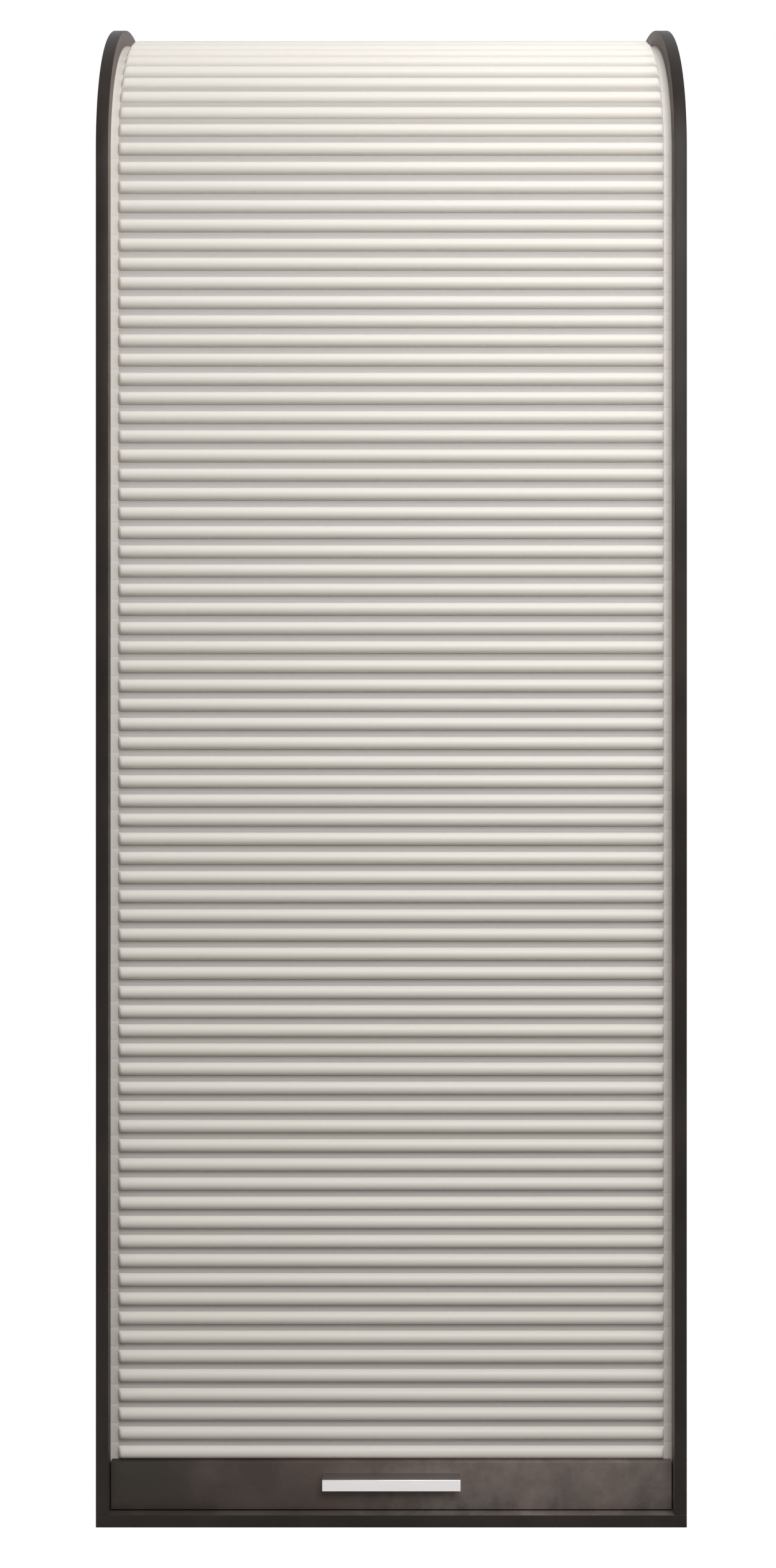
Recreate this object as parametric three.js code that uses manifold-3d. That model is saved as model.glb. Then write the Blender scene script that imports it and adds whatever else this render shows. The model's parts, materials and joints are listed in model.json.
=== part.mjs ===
// Tambour door cabinet: two dark boards with a large front curve carry a ribbed curtain that
// rises in grooves, over the top and down behind the inner back. Lengths are in millimetres.
// The origin is the middle of the underside. +Z is up, and the front faces -Y.
import * as THREE from 'three';
import { mergeVertices } from 'three/addons/utils/BufferGeometryUtils.js';
import Module from 'manifold-3d';

const wasm = await Module();
wasm.setup();

// Overall sizes
const WIDTH = 764;
const DEPTH = 440;
const HEIGHT = 2022;
const BOARD = 16;
const FRONT_RADIUS = 242;
const REAR_RADIUS = 90;

// Curtain sizes
const PITCH = 25;
const WEB_THICKNESS = 2.5;
const RIB_WIDTH = 16;
const RIB_PROUD = 7.5;
const RIB_FOOT = 0.5;
const RIB_RECESS = 13;
const RIB_END_GAP = 10;
const RIB_END_SLOPE = 7;
const WEB_IN_TRACK = 6;
const HEM = 8;
const SLATS_PER_GROUP = 4;
const RIB_SEGMENTS = 6;
const HINGE_GAP = 0.3;

// Track liner sizes
const LINER_DEPTH = 8;
const LINER_WALL = 1.2;
const CHANNEL_CLEARANCE = 0.5;
const FRONT_ARC_STEPS = 16;
const REAR_ARC_STEPS = 8;
const PANEL_ARC_STEPS = 12;

// Bottom rail, handle and their fastenings
const RAIL_HEIGHT = 61.5;
const RAIL_LIFT = 2.5;
const RAIL_THICKNESS = 16;
const RAIL_RECESS = 10;
const RAIL_SIDE_CLEARANCE = 1.5;
const RAIL_CHAMFER = 1;
const HANDLE_LENGTH = 178;
const HANDLE_DEPTH = 18;
const HANDLE_WALL = 2.5;
const HANDLE_LIP = 14.5;
const HANDLE_FLANGE = 20;
const HANDLE_FLANGE_THICKNESS = 3;
const HANDLE_CHAMFER = 1;
const HANDLE_RISE = 47;
const HANDLE_SCREW_INSET = 20;
const SCREW_RADIUS = 2;
const SCREW_HEAD_RADIUS = 4;
const SCREW_HEAD = 2.5;
const SCREW_BITE = 2.4;
const GLIDE_THICKNESS = 2.2;
const GLIDE_SEAT = 25;
const GLIDE_TOP_MARGIN = 12;
const GLIDE_CORNER = 3;
const OPEN_OVERLAP = 100;
const BUFFER_WIDTH = 12;
const BUFFER_DEPTH = 12;
const BUFFER_HEIGHT = 20;
const BUFFER_ROUNDING = 3;
const BUFFER_SETBACK = 1;

// Inner boards, backs and shelf supports
const COMPARTMENT_COUNT = 5;
const TOP_BOARD_DROP = 12;
const INNER_BACK_THICKNESS = 8;
const INNER_BACK_CLEARANCE = 9;
const OUTER_BACK_THICKNESS = 5;
const OUTER_BACK_INSET = 3;
const OUTER_BACK_DROP = 44;
const BOARD_FRONT_CLEARANCE = 4;
const SHELF_SETBACK = 5;
const SHELF_END_CLEARANCE = 1;
const SHELF_BACK_CLEARANCE = 1;
const EDGE_CHAMFER = 0.8;
const PIN_RADIUS = 2.5;
const PIN_COLLAR_RADIUS = 4;
const PIN_COLLAR = 1.2;
const PIN_IN_BOARD = 8;
const PIN_OUT = 9;
const PIN_SIDES = 8;
const PIN_FRONT_INSET = 45;
const PIN_BACK_INSET = 40;
const PIN_HOLE_STEP = 32;
const PIN_HOLES_EACH_WAY = 1;

// Gap kept between pieces that fit together, and how far a cutter runs past a face
const FIT = 0.3;
const OVERRUN = 2;

// Places worked out from the sizes above
const innerHalf = WIDTH / 2 - BOARD;
const front = -DEPTH / 2;
const back = DEPTH / 2;
const pathInset = RIB_RECESS + RIB_PROUD + WEB_THICKNESS / 2;
const frontPathRadius = FRONT_RADIUS - pathInset;
const rearPathRadius = REAR_RADIUS - pathInset;
const railBottom = BOARD + RAIL_LIFT;
const railTop = railBottom + RAIL_HEIGHT;
const railFront = front + RAIL_RECESS;
const railBack = railFront + RAIL_THICKNESS;
const frontPathY = front + pathInset;
const backPathY = back - pathInset;
const boardFront = railBack + BOARD_FRONT_CLEARANCE;
const innerBackFace = backPathY - WEB_THICKNESS / 2 - INNER_BACK_CLEARANCE - INNER_BACK_THICKNESS;
const topBoardTop = HEIGHT - FRONT_RADIUS - TOP_BOARD_DROP;
const fixedShelfNumber = Math.floor(COMPARTMENT_COUNT / 2);
const clearHeight = (topBoardTop - BOARD - COMPARTMENT_COUNT * BOARD) / COMPARTMENT_COUNT;

// Lengths of the five stretches of the curtain's path, counted from the top of the bottom rail
const frontRun = HEIGHT - FRONT_RADIUS - railTop;
const frontArc = (frontPathRadius * Math.PI) / 2;
const topRun = DEPTH - FRONT_RADIUS - REAR_RADIUS;
const rearArc = (rearPathRadius * Math.PI) / 2;
const backRun = HEIGHT - REAR_RADIUS - BOARD;
const frontArcEnd = frontRun + frontArc;
const topEnd = frontArcEnd + topRun;
const rearArcEnd = topEnd + rearArc;
const pathStart = BOARD - railTop;
const pathEnd = rearArcEnd + backRun;

// The open door stops with this much of the straight front left above its rail
const doorTravel = frontRun - OPEN_OVERLAP;

// Finishes
const anthracite = new THREE.MeshStandardMaterial({ color: 0x4a4542, roughness: 0.62, metalness: 0 });
const cream = new THREE.MeshStandardMaterial({ color: 0xece7de, roughness: 0.45, metalness: 0 });
const trackGrey = new THREE.MeshStandardMaterial({ color: 0xc9c5bd, roughness: 0.5, metalness: 0 });
const aluminium = new THREE.MeshStandardMaterial({ color: 0xd6d4d5, roughness: 0.35, metalness: 0.9 });
const steel = new THREE.MeshStandardMaterial({ color: 0xb4b4b2, roughness: 0.3, metalness: 1 });
const hardboard = new THREE.MeshStandardMaterial({ color: 0x55504c, roughness: 0.75, metalness: 0 });
const rubber = new THREE.MeshStandardMaterial({ color: 0x2a2a2a, roughness: 0.8, metalness: 0 });
const nylon = new THREE.MeshStandardMaterial({ color: 0xe6e4de, roughness: 0.4, metalness: 0 });

const cabinet = new THREE.Group();

function addPiece(parent, name, geometry, material) {
  const mesh = new THREE.Mesh(geometry, material.clone());
  mesh.name = name;
  parent.add(mesh);
  return mesh;
}

function toSolid(geometry) {
  const bare = geometry.index ? geometry.clone() : geometry;
  bare.deleteAttribute('normal');
  bare.deleteAttribute('uv');
  const merged = mergeVertices(bare);
  return new wasm.Manifold(new wasm.Mesh({
    numProp: 3,
    vertProperties: new Float32Array(merged.attributes.position.array),
    triVerts: new Uint32Array(merged.index.array),
  }));
}

function toGeometry(solid) {
  const mesh = solid.getMesh();
  const geometry = new THREE.BufferGeometry();
  geometry.setAttribute('position', new THREE.BufferAttribute(mesh.vertProperties, 3));
  geometry.setIndex(new THREE.BufferAttribute(mesh.triVerts, 1));
  geometry.computeVertexNormals();
  return geometry;
}

function cut(geometry, cutters) {
  let solid = toSolid(geometry);
  for (const cutter of cutters) {
    solid = solid.subtract(toSolid(cutter));
  }
  return toGeometry(solid);
}

function box(x0, x1, y0, y1, z0, z1) {
  const geometry = new THREE.BoxGeometry(Math.abs(x1 - x0), Math.abs(y1 - y0), Math.abs(z1 - z0));
  return geometry.translate((x0 + x1) / 2, (y0 + y1) / 2, (z0 + z1) / 2);
}

function extrude(shape, length, curveSegments) {
  return new THREE.ExtrudeGeometry(shape, { depth: length, bevelEnabled: false, curveSegments });
}

// A section drawn in (y, z), swept along X between two places
function extrudeAlongX(shape, x0, x1, curveSegments) {
  const geometry = extrude(shape, Math.abs(x1 - x0), curveSegments);
  const turn = new THREE.Matrix4().makeBasis(
    new THREE.Vector3(0, 1, 0),
    new THREE.Vector3(0, 0, 1),
    new THREE.Vector3(1, 0, 0),
  );
  return geometry.applyMatrix4(turn).translate(Math.min(x0, x1), 0, 0);
}

// A section drawn in (x, z), swept along Y between two places
function extrudeAlongY(shape, y0, y1, curveSegments) {
  const geometry = extrude(shape, Math.abs(y1 - y0), curveSegments);
  const turn = new THREE.Matrix4().makeBasis(
    new THREE.Vector3(1, 0, 0),
    new THREE.Vector3(0, 0, 1),
    new THREE.Vector3(0, -1, 0),
  );
  return geometry.applyMatrix4(turn).translate(0, Math.max(y0, y1), 0);
}

function polygon(points) {
  return new THREE.Shape(points.map(([u, v]) => new THREE.Vector2(u, v)));
}

function roundedRectangle(u0, u1, v0, v1, radius) {
  const shape = new THREE.Shape();
  shape.moveTo(u0 + radius, v0);
  shape.absarc(u1 - radius, v0 + radius, radius, -Math.PI / 2, 0, false);
  shape.absarc(u1 - radius, v1 - radius, radius, 0, Math.PI / 2, false);
  shape.absarc(u0 + radius, v1 - radius, radius, Math.PI / 2, Math.PI, false);
  shape.absarc(u0 + radius, v0 + radius, radius, Math.PI, 1.5 * Math.PI, false);
  return shape;
}

// The curtain's path: up the front, round the large curve, over the top, round the small
// curve and down the back. Gives the point at a distance along it, moved outwards by offset.
function pathPoint(distance, offset) {
  if (distance <= frontRun) {
    return [frontPathY - offset, railTop + distance];
  }
  if (distance <= frontArcEnd) {
    const turn = (distance - frontRun) / frontPathRadius;
    const radius = frontPathRadius + offset;
    return [
      front + FRONT_RADIUS - radius * Math.cos(turn),
      HEIGHT - FRONT_RADIUS + radius * Math.sin(turn),
    ];
  }
  if (distance <= topEnd) {
    return [front + FRONT_RADIUS + distance - frontArcEnd, HEIGHT - pathInset + offset];
  }
  if (distance <= rearArcEnd) {
    const turn = (distance - topEnd) / rearPathRadius;
    const radius = rearPathRadius + offset;
    return [
      back - REAR_RADIUS + radius * Math.sin(turn),
      HEIGHT - REAR_RADIUS + radius * Math.cos(turn),
    ];
  }
  return [backPathY + offset, HEIGHT - REAR_RADIUS - (distance - rearArcEnd)];
}

function pathStations(start, end) {
  const stations = [start];
  for (let step = 0; step <= FRONT_ARC_STEPS; step += 1) {
    stations.push(frontRun + (frontArc * step) / FRONT_ARC_STEPS);
  }
  for (let step = 0; step <= REAR_ARC_STEPS; step += 1) {
    stations.push(topEnd + (rearArc * step) / REAR_ARC_STEPS);
  }
  stations.push(end);
  return stations;
}

// A band that follows the whole path, from one offset to the other
function pathBand(start, end, offset) {
  const stations = pathStations(start, end);
  const outer = stations.map((distance) => pathPoint(distance, offset));
  const inner = stations.map((distance) => pathPoint(distance, -offset));
  return polygon([...outer.reverse(), ...inner]);
}

// Side panels, with the groove for the track and the holes for the shelf pins
function panelOutline() {
  const shape = new THREE.Shape();
  shape.moveTo(front, BOARD);
  shape.lineTo(back, BOARD);
  shape.absarc(back - REAR_RADIUS, HEIGHT - REAR_RADIUS, REAR_RADIUS, 0, Math.PI / 2, false);
  shape.absarc(front + FRONT_RADIUS, HEIGHT - FRONT_RADIUS, FRONT_RADIUS, Math.PI / 2, Math.PI, false);
  return shape;
}

const channelHalf = WEB_THICKNESS / 2 + CHANNEL_CLEARANCE;
const linerHalf = channelHalf + LINER_WALL;

function shelfBottom(index) {
  return BOARD + index * clearHeight + (index - 1) * BOARD;
}

const adjustableShelves = [];
for (let index = 1; index < COMPARTMENT_COUNT; index += 1) {
  if (index !== fixedShelfNumber) {
    adjustableShelves.push(index);
  }
}
const shelfFront = boardFront + SHELF_SETBACK;
const shelfBack = innerBackFace - SHELF_BACK_CLEARANCE;
const pinRows = [shelfFront + PIN_FRONT_INSET, shelfBack - PIN_BACK_INSET];

function pinHeight(index) {
  return shelfBottom(index) - PIN_RADIUS - FIT;
}

function pinHole(side, y, z) {
  const depth = PIN_IN_BOARD + FIT + OVERRUN;
  const hole = new THREE.CylinderGeometry(PIN_RADIUS + FIT, PIN_RADIUS + FIT, depth, PIN_SIDES);
  hole.rotateZ(Math.PI / 2);
  return hole.translate(side * (innerHalf + PIN_IN_BOARD + FIT - depth / 2), y, z);
}

function sidePanel(side) {
  const board = extrudeAlongX(panelOutline(), side * innerHalf, side * (innerHalf + BOARD), PANEL_ARC_STEPS);
  const band = pathBand(pathStart - OVERRUN, pathEnd + OVERRUN, linerHalf + FIT);
  const grooveBottom = innerHalf + LINER_DEPTH + FIT;
  const cutters = [extrudeAlongX(band, side * (innerHalf - OVERRUN), side * grooveBottom, 1)];
  for (const index of adjustableShelves) {
    for (const y of pinRows) {
      for (let step = -PIN_HOLES_EACH_WAY; step <= PIN_HOLES_EACH_WAY; step += 1) {
        cutters.push(pinHole(side, y, pinHeight(index) + step * PIN_HOLE_STEP));
      }
    }
  }
  return cut(board, cutters);
}

// Track liner: a plastic channel of U section that lines the whole groove
function trackLiner(side) {
  const outer = pathBand(pathStart + FIT, pathEnd - FIT, linerHalf);
  const inner = pathBand(pathStart - OVERRUN, pathEnd + OVERRUN, channelHalf);
  const body = extrudeAlongX(outer, side * innerHalf, side * (innerHalf + LINER_DEPTH), 1);
  const floor = innerHalf + LINER_DEPTH - LINER_WALL;
  return cut(body, [extrudeAlongX(inner, side * (innerHalf - OVERRUN), side * floor, 1)]);
}

for (const [name, side] of [['left', -1], ['right', 1]]) {
  addPiece(cabinet, `side_panel_${name}`, sidePanel(side), anthracite);
  addPiece(cabinet, `track_liner_${name}`, trackLiner(side), trackGrey);
}

// Boards between and under the panels. A board's front edge is eased top and bottom.
function edgedBoard(halfLength, y0, y1, z0, thickness) {
  const z1 = z0 + thickness;
  return extrudeAlongX(polygon([
    [y1, z0],
    [y1, z1],
    [y0 + EDGE_CHAMFER, z1],
    [y0, z1 - EDGE_CHAMFER],
    [y0, z0 + EDGE_CHAMFER],
    [y0 + EDGE_CHAMFER, z0],
  ]), -halfLength, halfLength, 1);
}

addPiece(cabinet, 'bottom_board', edgedBoard(WIDTH / 2, front, back, 0, BOARD), anthracite);
addPiece(
  cabinet,
  'top_board',
  edgedBoard(innerHalf, boardFront, innerBackFace, topBoardTop - BOARD, BOARD),
  anthracite,
);
addPiece(
  cabinet,
  'fixed_shelf',
  edgedBoard(innerHalf, boardFront, innerBackFace, shelfBottom(fixedShelfNumber), BOARD),
  anthracite,
);
addPiece(
  cabinet,
  'inner_back',
  box(-innerHalf, innerHalf, innerBackFace, innerBackFace + INNER_BACK_THICKNESS, BOARD, topBoardTop),
  anthracite,
);
addPiece(
  cabinet,
  'outer_back',
  box(
    -innerHalf,
    innerHalf,
    back - OUTER_BACK_INSET - OUTER_BACK_THICKNESS,
    back - OUTER_BACK_INSET,
    BOARD,
    HEIGHT - REAR_RADIUS - OUTER_BACK_DROP,
  ),
  hardboard,
);

// Adjustable shelves on four collared pins each
function shelfPin(side, y, z) {
  const profile = [
    [0, 0],
    [PIN_RADIUS, 0],
    [PIN_RADIUS, PIN_IN_BOARD],
    [PIN_COLLAR_RADIUS, PIN_IN_BOARD],
    [PIN_COLLAR_RADIUS, PIN_IN_BOARD + PIN_COLLAR],
    [PIN_RADIUS, PIN_IN_BOARD + PIN_COLLAR],
    [PIN_RADIUS, PIN_IN_BOARD + PIN_OUT],
    [0, PIN_IN_BOARD + PIN_OUT],
  ].map(([radius, along]) => new THREE.Vector2(radius, along));
  const pin = new THREE.LatheGeometry(profile, PIN_SIDES);
  pin.rotateZ((side * Math.PI) / 2);
  return pin.translate(side * (innerHalf + PIN_IN_BOARD), y, z);
}

adjustableShelves.forEach((index, order) => {
  const label = `shelf_${order + 1}`;
  const board = edgedBoard(
    innerHalf - PIN_COLLAR - SHELF_END_CLEARANCE,
    shelfFront,
    shelfBack,
    shelfBottom(index),
    BOARD,
  );
  addPiece(cabinet, label, board, anthracite);
  for (const [sideName, side] of [['left', -1], ['right', 1]]) {
    for (const [rowName, y] of [['front', pinRows[0]], ['back', pinRows[1]]]) {
      addPiece(cabinet, `${label}_pin_${sideName}_${rowName}`, shelfPin(side, y, pinHeight(index)), steel);
    }
  }
});

// The curtain. A group is a strip of slats on one flexible web: each slat has a half-round
// rib whose ends slope down to the flat web, and only the web runs into the tracks.
function isStraight(start, end) {
  return end <= frontRun || start >= rearArcEnd;
}

function frontEdge(start, end, slatStarts, share) {
  const points = [[start, 0]];
  for (const slatStart of slatStarts) {
    for (let step = 0; step <= RIB_SEGMENTS; step += 1) {
      const turn = (Math.PI * step) / RIB_SEGMENTS;
      const along = slatStart + RIB_FOOT + (RIB_WIDTH / 2) * (1 - Math.cos(turn));
      points.push([along, share * RIB_PROUD * Math.sin(turn)]);
    }
  }
  points.push([end, 0]);
  return points.map(([along, proud]) => ({ along, at: pathPoint(along, WEB_THICKNESS / 2 + proud) }));
}

function backEdge(start, end, slatStarts) {
  const places = [start];
  if (!isStraight(start, end)) {
    for (const slatStart of slatStarts) {
      const foot = slatStart + RIB_FOOT;
      places.push(foot, foot + RIB_WIDTH / 2, foot + RIB_WIDTH);
    }
  }
  places.push(end);
  return places.map((along) => ({ along, at: pathPoint(along, -WEB_THICKNESS / 2) }));
}

// Triangles that close one end of the strip, between its back edge and its front edge
function endTriangles(backPlaces, frontPlaces, backFirst, frontFirst) {
  const triangles = [];
  let i = 0;
  let j = 0;
  while (i < backPlaces.length - 1 || j < frontPlaces.length - 1) {
    const backNext = i < backPlaces.length - 1 ? backPlaces[i + 1].along : Infinity;
    const frontNext = j < frontPlaces.length - 1 ? frontPlaces[j + 1].along : Infinity;
    if (backNext < frontNext) {
      triangles.push([backFirst + i, backFirst + i + 1, frontFirst + j]);
      i += 1;
    } else {
      triangles.push([frontFirst + j, backFirst + i, frontFirst + j + 1]);
      j += 1;
    }
  }
  return triangles;
}

function slatGroup(start, end, slatStarts) {
  const webHalf = innerHalf + WEB_IN_TRACK;
  const ribHalf = innerHalf - RIB_END_GAP;
  const stations = [
    [-webHalf, 0],
    [-ribHalf, 0],
    [-ribHalf + RIB_END_SLOPE, 1],
    [ribHalf - RIB_END_SLOPE, 1],
    [ribHalf, 0],
    [webHalf, 0],
  ];
  const backPlaces = backEdge(start, end, slatStarts);
  const positions = [];
  for (const [x, share] of stations) {
    for (const place of [...backPlaces, ...frontEdge(start, end, slatStarts, share)]) {
      positions.push(x, ...place.at);
    }
  }
  const frontPlaces = frontEdge(start, end, slatStarts, 0);
  const backCount = backPlaces.length;
  const frontCount = frontPlaces.length;
  const ringCount = backCount + frontCount;
  const ring = [];
  for (let i = 0; i < backCount; i += 1) {
    ring.push(i);
  }
  for (let j = frontCount - 1; j >= 0; j -= 1) {
    ring.push(backCount + j);
  }
  const indices = [];
  for (let station = 0; station < stations.length - 1; station += 1) {
    const here = station * ringCount;
    const next = here + ringCount;
    ring.forEach((a, order) => {
      const b = ring[(order + 1) % ringCount];
      indices.push(here + a, here + b, next + b, here + a, next + b, next + a);
    });
  }
  const last = (stations.length - 1) * ringCount;
  for (const [a, b, c] of endTriangles(backPlaces, frontPlaces, 0, backCount)) {
    indices.push(last + a, last + b, last + c, c, b, a);
  }
  const geometry = new THREE.BufferGeometry();
  geometry.setAttribute('position', new THREE.Float32BufferAttribute(positions, 3));
  geometry.setIndex(indices);
  geometry.computeVertexNormals();
  return geometry;
}

const groupLength = PITCH * SLATS_PER_GROUP;
const coveringGroups = Math.ceil(rearArcEnd / groupLength);
for (let group = 0; group <= coveringGroups; group += 1) {
  const base = group * groupLength;
  const slatStarts = [];
  for (let slat = 0; slat < SLATS_PER_GROUP; slat += 1) {
    slatStarts.push(base + slat * PITCH);
  }
  const start = group === 0 ? -HEM : base + HINGE_GAP / 2;
  const end = base + groupLength - HINGE_GAP / 2;
  const label = group === coveringGroups ? 'tail' : String(group + 1).padStart(2, '0');
  addPiece(cabinet, `slat_group_${label}`, slatGroup(start, end, slatStarts), cream);
}

// Bottom rail: a board with eased edges, a slot in its top for the curtain's hem, a slot in
// each end for a glide and two holes for the handle screws
const screwX = HANDLE_LENGTH / 2 - HANDLE_SCREW_INSET;
const handleTop = railBottom + HANDLE_RISE;
const handleTip = railFront - HANDLE_DEPTH;
const screwZ = handleTop - HANDLE_FLANGE / 2;
const railHalf = innerHalf - RAIL_SIDE_CLEARANCE;
const glideTop = railTop - GLIDE_TOP_MARGIN;

function railSection() {
  const slotHalf = WEB_THICKNESS / 2 + FIT;
  const slotFloor = railTop - HEM - FIT;
  return polygon([
    [railFront + RAIL_CHAMFER, railBottom],
    [railBack, railBottom],
    [railBack, railTop],
    [frontPathY + slotHalf, railTop],
    [frontPathY + slotHalf, slotFloor],
    [frontPathY - slotHalf, slotFloor],
    [frontPathY - slotHalf, railTop],
    [railFront + RAIL_CHAMFER, railTop],
    [railFront, railTop - RAIL_CHAMFER],
    [railFront, railBottom + RAIL_CHAMFER],
  ]);
}

function screwHole(x, radius, y0, y1) {
  const hole = new THREE.CylinderGeometry(radius, radius, y1 - y0, PIN_SIDES);
  return hole.translate(x, (y0 + y1) / 2, screwZ);
}

function bottomRail() {
  const slotHalf = GLIDE_THICKNESS / 2 + FIT;
  const cutters = [];
  for (const side of [-1, 1]) {
    cutters.push(box(
      side * (innerHalf - GLIDE_SEAT - FIT),
      side * (railHalf + OVERRUN),
      frontPathY - slotHalf,
      frontPathY + slotHalf,
      railBottom - OVERRUN,
      glideTop + FIT,
    ));
    cutters.push(screwHole(side * screwX, SCREW_RADIUS + FIT, railFront - OVERRUN, railBack + OVERRUN));
  }
  return cut(extrudeAlongX(railSection(), -railHalf, railHalf, 1), cutters);
}

// Grip rail: a hooked profile with a flange on the rail, a flat top and a lip that hangs down
function gripSection() {
  const flangeBack = railFront - FIT;
  const flangeFront = flangeBack - HANDLE_FLANGE_THICKNESS;
  return polygon([
    [handleTip, handleTop - HANDLE_LIP],
    [handleTip + HANDLE_WALL, handleTop - HANDLE_LIP],
    [handleTip + HANDLE_WALL, handleTop - HANDLE_WALL],
    [flangeFront, handleTop - HANDLE_WALL],
    [flangeFront, handleTop - HANDLE_FLANGE],
    [flangeBack, handleTop - HANDLE_FLANGE],
    [flangeBack, handleTop],
    [handleTip + HANDLE_CHAMFER, handleTop],
    [handleTip, handleTop - HANDLE_CHAMFER],
  ]);
}

function handle() {
  const body = extrudeAlongX(gripSection(), -HANDLE_LENGTH / 2, HANDLE_LENGTH / 2, 1);
  const holeEnd = railFront - SCREW_BITE - FIT;
  return cut(body, [
    screwHole(-screwX, SCREW_RADIUS + FIT, holeEnd, railFront + OVERRUN),
    screwHole(screwX, SCREW_RADIUS + FIT, holeEnd, railFront + OVERRUN),
  ]);
}

function handleScrew(x) {
  const profile = [
    [0, railFront - SCREW_BITE],
    [SCREW_RADIUS, railFront - SCREW_BITE],
    [SCREW_RADIUS, railBack + FIT],
    [SCREW_HEAD_RADIUS, railBack + FIT],
    [SCREW_HEAD_RADIUS - SCREW_HEAD / 2, railBack + FIT + SCREW_HEAD],
    [0, railBack + FIT + SCREW_HEAD],
  ].map(([radius, along]) => new THREE.Vector2(radius, along));
  return new THREE.LatheGeometry(profile, PIN_SIDES).translate(x, 0, screwZ);
}

// Glide: a plate let into the end of the rail. Its nose runs in the track.
function glide(side) {
  const x0 = side * (innerHalf - GLIDE_SEAT);
  const x1 = side * (innerHalf + WEB_IN_TRACK);
  const z0 = BOARD + FIT;
  const shape = roundedRectangle(Math.min(x0, x1), Math.max(x0, x1), z0, glideTop, GLIDE_CORNER);
  return extrudeAlongY(shape, frontPathY - GLIDE_THICKNESS / 2, frontPathY + GLIDE_THICKNESS / 2, 1);
}

addPiece(cabinet, 'bottom_rail', bottomRail(), anthracite);
addPiece(cabinet, 'handle', handle(), aluminium);

// Stop buffer: a rubber block on the panel, behind the curtain, that the rail's back edge meets
function stopBuffer(side) {
  const y0 = frontPathY + WEB_THICKNESS / 2 + BUFFER_SETBACK;
  const z0 = railTop + doorTravel + FIT;
  const section = roundedRectangle(y0, y0 + BUFFER_DEPTH, z0, z0 + BUFFER_HEIGHT, BUFFER_ROUNDING);
  return extrudeAlongX(section, side * innerHalf, side * (innerHalf - BUFFER_WIDTH), 1);
}

for (const [name, side] of [['left', -1], ['right', 1]]) {
  addPiece(cabinet, `handle_screw_${name}`, handleScrew(side * screwX), steel);
  addPiece(cabinet, `rail_glide_${name}`, glide(side), nylon);
  addPiece(cabinet, `stop_buffer_${name}`, stopBuffer(side), rubber);
}

export default cabinet;
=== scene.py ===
"""Looks of a tambour door cabinet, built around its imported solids.

The cabinet has two dark decor boards with a large round front top corner. A cream ribbed
curtain runs in tracks let into the boards. All lengths are in metres.
"""
import json
import logging
import math
from dataclasses import dataclass
from enum import Enum
from functools import partial
from typing import Callable, Iterable, Sequence, Union

import bmesh
import bpy
from mathutils import Color, Matrix, Vector


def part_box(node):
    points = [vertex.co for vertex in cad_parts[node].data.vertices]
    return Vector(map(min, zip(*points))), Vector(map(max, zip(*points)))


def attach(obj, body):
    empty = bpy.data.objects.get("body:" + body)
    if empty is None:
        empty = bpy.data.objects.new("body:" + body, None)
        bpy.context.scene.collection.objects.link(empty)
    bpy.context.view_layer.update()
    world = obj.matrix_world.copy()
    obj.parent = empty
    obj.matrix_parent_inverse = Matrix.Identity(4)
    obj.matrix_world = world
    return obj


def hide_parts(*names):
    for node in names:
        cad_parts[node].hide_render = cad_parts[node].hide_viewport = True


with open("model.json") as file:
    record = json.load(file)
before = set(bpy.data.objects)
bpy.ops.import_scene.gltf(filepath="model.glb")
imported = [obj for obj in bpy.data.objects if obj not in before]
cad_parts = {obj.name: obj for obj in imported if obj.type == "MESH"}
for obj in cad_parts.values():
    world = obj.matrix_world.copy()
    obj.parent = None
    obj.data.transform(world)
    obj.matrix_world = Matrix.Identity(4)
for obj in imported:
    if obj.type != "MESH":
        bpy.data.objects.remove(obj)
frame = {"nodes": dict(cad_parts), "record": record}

LOG = logging.getLogger("cabinet")

EIGHT_BIT = 255  # the brightest level of a screen colour's channel
SHARP_DEGREES = 40.0  # faces that meet at more than this have a sharp edge between them
SMOOTH_DEGREES = 35.0  # edges flatter than this are shaded smooth
ALONG = 0.999  # the least cosine between an edge and the axis that it runs along
BROAD = 0.9  # the least cosine between a board's broad face and its axis
UPWARD = 0.5  # a face whose normal rises more than this looks up
MERGE_DISTANCE = 1e-6
CLOUD_RATIO = 40  # how much larger a moulded surface's clouds are than its grain
THIN_SEGMENTS = 2
EDGE_SEGMENTS = 3
CORNER_SEGMENTS = 6

Colour = tuple[float, float, float]
Triple = tuple[float, float, float]
Point = tuple[float, float]
Mesh = bmesh.types.BMesh
Edge = bmesh.types.BMEdge
Vert = bmesh.types.BMVert
Material = bpy.types.Material
Socket = bpy.types.NodeSocket


class Axis(Enum):
    """An axis, by its place in a vector."""

    X = 0
    Y = 1
    Z = 2


class Slot(Enum):
    """The record's material slots."""

    BOARD = "decor_board"
    SLAT = "slat_plastic"
    TRACK = "track_plastic"
    ALUMINIUM = "satin_aluminium"
    STEEL = "steel"
    HARDBOARD = "hardboard"
    NYLON = "nylon"
    RUBBER = "rubber"


class BoardFace(Enum):
    """The numbers of a board's two materials."""

    DECOR = 0
    BAND = 1


class StripFace(Enum):
    """The numbers of a curtain strip's three materials."""

    RIB = 0
    # The web and the ends are the same film: the web, between the ribs, takes a darker copy of its
    # colour, painted shade from the ribs above, and the ends, beside the rib ends, a lighter, lit
    # copy.
    WEB = 1
    END = 2


class Side(Enum):
    """The two ends of the cabinet, seen from the front."""

    LEFT = -1
    RIGHT = 1

    @property
    def label(self) -> str:
        """The word that piece names use for this side."""
        return self.name.lower()


def linear(*screen: int) -> Colour:
    """Turns an eight-bit screen colour, as red, green and blue, into the linear one."""
    shares = Color([channel / EIGHT_BIT for channel in screen])
    return tuple(shares.from_srgb_to_scene_linear())


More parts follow.
